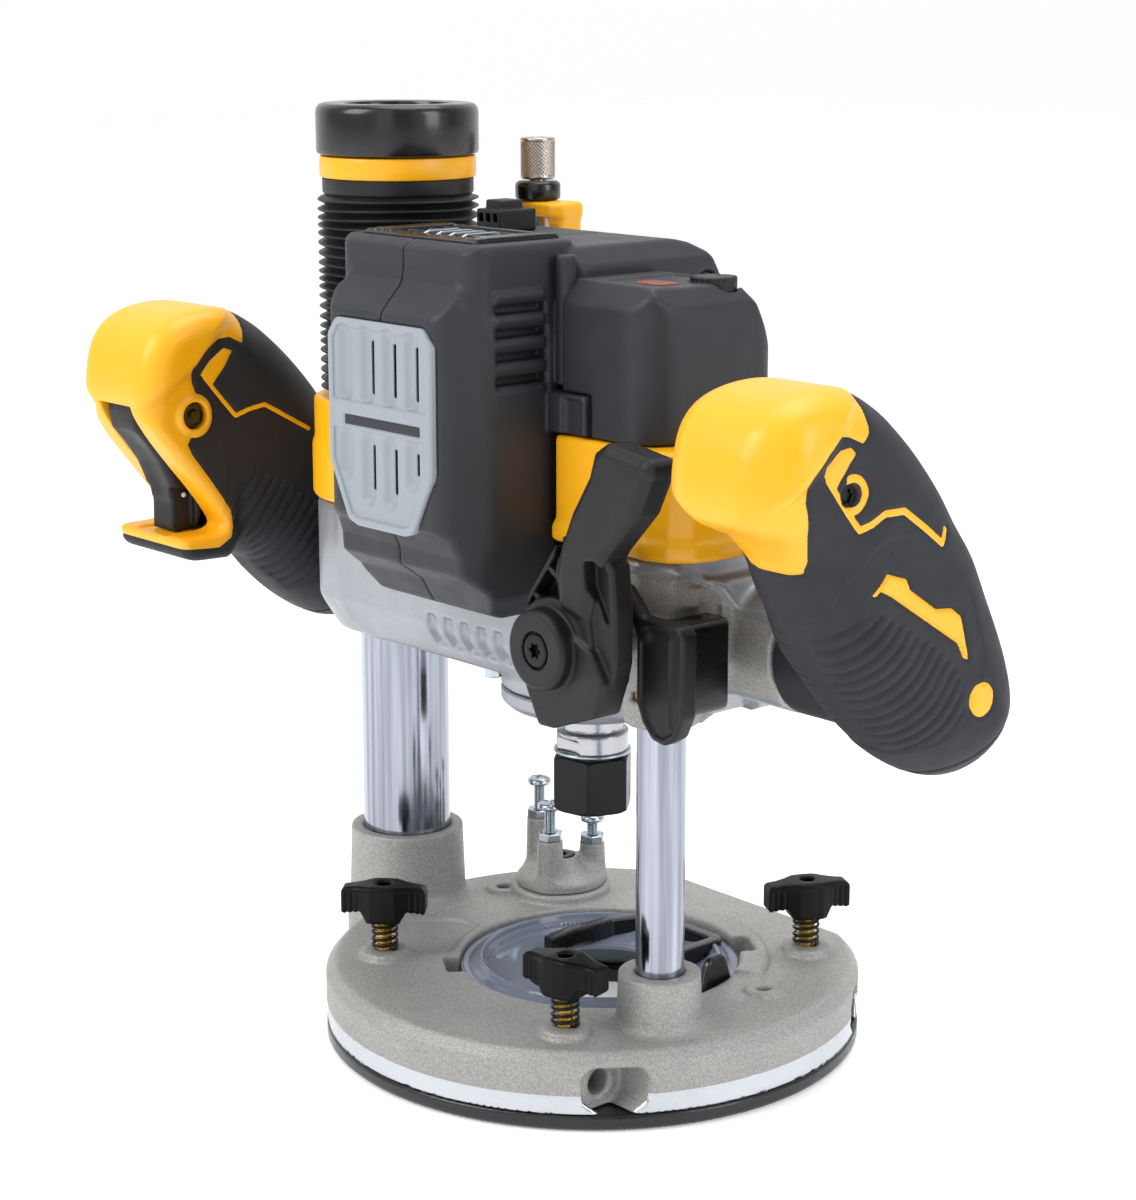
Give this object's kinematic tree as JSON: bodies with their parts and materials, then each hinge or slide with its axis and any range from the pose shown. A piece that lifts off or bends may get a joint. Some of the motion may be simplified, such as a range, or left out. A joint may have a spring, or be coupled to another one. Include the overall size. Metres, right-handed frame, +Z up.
{
  "type": "plunge router",
  "caption": "Cordless plunge router with round cast base, motor carriage sliding on fixed columns, side handles, trigger, depth turret and dust tube.",
  "frame": {"origin": "spindle axis on the sole of the base", "axes": "+Z up along the spindle and columns, -Y to the front (vent grille), +X to the handle that has no trigger"},
  "size_m": [0.3344, 0.164, 0.3026],
  "materials": {
    "sole_black": "smooth black phenolic plate",
    "cast_grey": "grainy bead-blasted casting with a machined lower band",
    "cast_silver": "bright silver lacquer over a smooth casting",
    "chrome_tube": "hard chrome",
    "bright_steel": "ground steel",
    "zinc_steel": "bright zinc plate",
    "black_steel": "black oxide",
    "brass_screw": "turned brass",
    "bronze_bush": "sintered bronze",
    "yellow_plastic": "satin moulded yellow plastic",
    "dark_plastic": "fine textured dark grey plastic",
    "black_plastic": "matt black plastic",
    "black_gloss": "satin black plastic",
    "grip_rubber": "soft dark grey overmould",
    "bellows_rubber": "soft black rubber",
    "grey_plastic": "light grey plastic",
    "smoke_clear": "smoky clear polycarbonate",
    "copper_core": "laminated steel with varnished copper",
    "rotor_steel": "laminated steel",
    "knurled_steel": "knurled nickel plate"
  },
  "bodies": {
    "base": {"sub_base_plate": "sole_black", "base_casting": "cast_grey", "sub_base_screws": "zinc_steel", "dust_tube": "chrome_tube", "guide_column": "chrome_tube", "dust_port_collar": "black_gloss", "dust_port_band": "yellow_plastic", "dust_bellows": "bellows_rubber", "dust_shroud": "smoke_clear", "return_spring": "bright_steel", "clamp_springs": "black_steel", "turret_pivot_screw": "black_steel"},
    "carriage": {"carriage_casting": "cast_silver", "column_bushes": "bronze_bush", "bearing_retainer": "cast_silver", "lower_bearing": "bright_steel", "middle_shell": "yellow_plastic", "motor_housing_left": "dark_plastic", "motor_housing_right": "dark_plastic", "vent_grille": "grey_plastic", "control_housing": "dark_plastic", "battery_rails": "black_plastic", "terminal_block": "black_plastic", "stator": "copper_core", "upper_bearing_carrier": "black_plastic", "upper_bearing": "bright_steel", "controller_module": "black_plastic", "left_handle_core": "yellow_plastic", "left_handle_grip": "grip_rubber", "right_handle_plate": "yellow_plastic", "right_handle_core": "yellow_plastic", "right_handle_grip": "grip_rubber", "handle_end_caps": "grip_rubber", "switch_module": "black_plastic", "housing_screws": "black_steel"},
    "spindle": {"spindle_shaft": "bright_steel", "rotor": "rotor_steel", "cooling_fan": "black_plastic", "collet": "bright_steel", "collet_nut": "black_steel", "nut_retaining_ring": "bright_steel"},
    "plunge_lock": {"plunge_lock_lever": "dark_plastic", "lock_bolt": "black_steel"},
    "spindle_lock": {"spindle_lock_button": "dark_plastic"},
    "depth_stop": {"depth_rod": "bright_steel", "depth_rod_collar": "black_plastic", "depth_cursor": "yellow_plastic"},
    "fine_adjuster": {"depth_fine_knob": "knurled_steel"},
    "turret": {"turret_stop": "cast_grey", "turret_stop_screws": "zinc_steel", "turret_lock_nuts": "zinc_steel"},
    "switch_trigger": {"trigger": "black_plastic"},
    "lock_off": {"lock_off_button": "black_gloss"},
    "speed_wheel": {"speed_dial": "black_plastic"},
    "knob_left": {"clamp_knob_left": "black_plastic", "clamp_screw_left": "brass_screw"},
    "knob_front": {"clamp_knob_front": "black_plastic", "clamp_screw_front": "brass_screw"},
    "knob_right": {"clamp_knob_right": "black_plastic", "clamp_screw_right": "brass_screw"}
  },
  "joints": [
    {"name": "plunge", "type": "slide", "parent": "base", "child": "carriage", "axis": [0, 0, -1], "range_m": [0, 0.055], "stiffness_N_per_m": 700, "springref_m": -0.15, "deforming": ["dust_bellows", "return_spring"]},
    {"name": "spindle_turn", "type": "hinge", "parent": "carriage", "child": "spindle", "pos_m": [0, 0, 0.1], "axis": [0, 0, 1], "continuous": true},
    {"name": "lock_lever_turn", "type": "hinge", "parent": "carriage", "child": "plunge_lock", "pos_m": [0.0602, -0.055, 0.153], "axis": [0, -1, 0], "range_deg": [0, 38]},
    {"name": "spindle_lock_press", "type": "slide", "parent": "carriage", "child": "spindle_lock", "axis": [0, 1, 0], "range_m": [0, 0.004], "stiffness_N_per_m": 800, "springref_m": -0.005},
    {"name": "depth_rod_slide", "type": "slide", "parent": "carriage", "child": "depth_stop", "axis": [0, 0, 1], "range_m": [-0.055, 0]},
    {"name": "fine_adjust_turn", "type": "hinge", "parent": "depth_stop", "child": "fine_adjuster", "pos_m": [-0.0635, 0.0317, 0.28], "axis": [0, 0, 1], "range_deg": [-360, 360]},
    {"name": "turret_turn", "type": "hinge", "parent": "base", "child": "turret", "pos_m": [-0.052, 0.0317, 0.032], "axis": [0, 0, 1], "continuous": true},
    {"name": "trigger_pull", "type": "hinge", "parent": "carriage", "child": "switch_trigger", "pos_m": [-0.1435, -0.0813, 0.2055], "axis": [1, 0, 0], "range_deg": [0, 7], "stiffness_Nm_per_rad": 0.8, "springref_deg": -20.05},
    {"name": "lock_off_press", "type": "slide", "parent": "carriage", "child": "lock_off", "axis": [-1, 0, 0], "range_m": [0, 0.0025], "stiffness_N_per_m": 600, "springref_m": -0.004},
    {"name": "speed_dial_turn", "type": "hinge", "parent": "carriage", "child": "speed_wheel", "pos_m": [0.066, -0.012, 0.254], "axis": [0, 0, 1], "range_deg": [-135, 135]},
    {"name": "clamp_left_turn", "type": "hinge", "parent": "base", "child": "knob_left", "pos_m": [-0.042, -0.055, 0.03], "axis": [0, 0, 1], "range_deg": [-360, 360]},
    {"name": "clamp_front_turn", "type": "hinge", "parent": "base", "child": "knob_front", "pos_m": [0.0476, -0.054, 0.03], "axis": [0, 0, 1], "range_deg": [-360, 360]},
    {"name": "clamp_right_turn", "type": "hinge", "parent": "base", "child": "knob_right", "pos_m": [0.0479, 0.053, 0.03], "axis": [0, 0, 1], "range_deg": [-360, 360]}
  ]
}
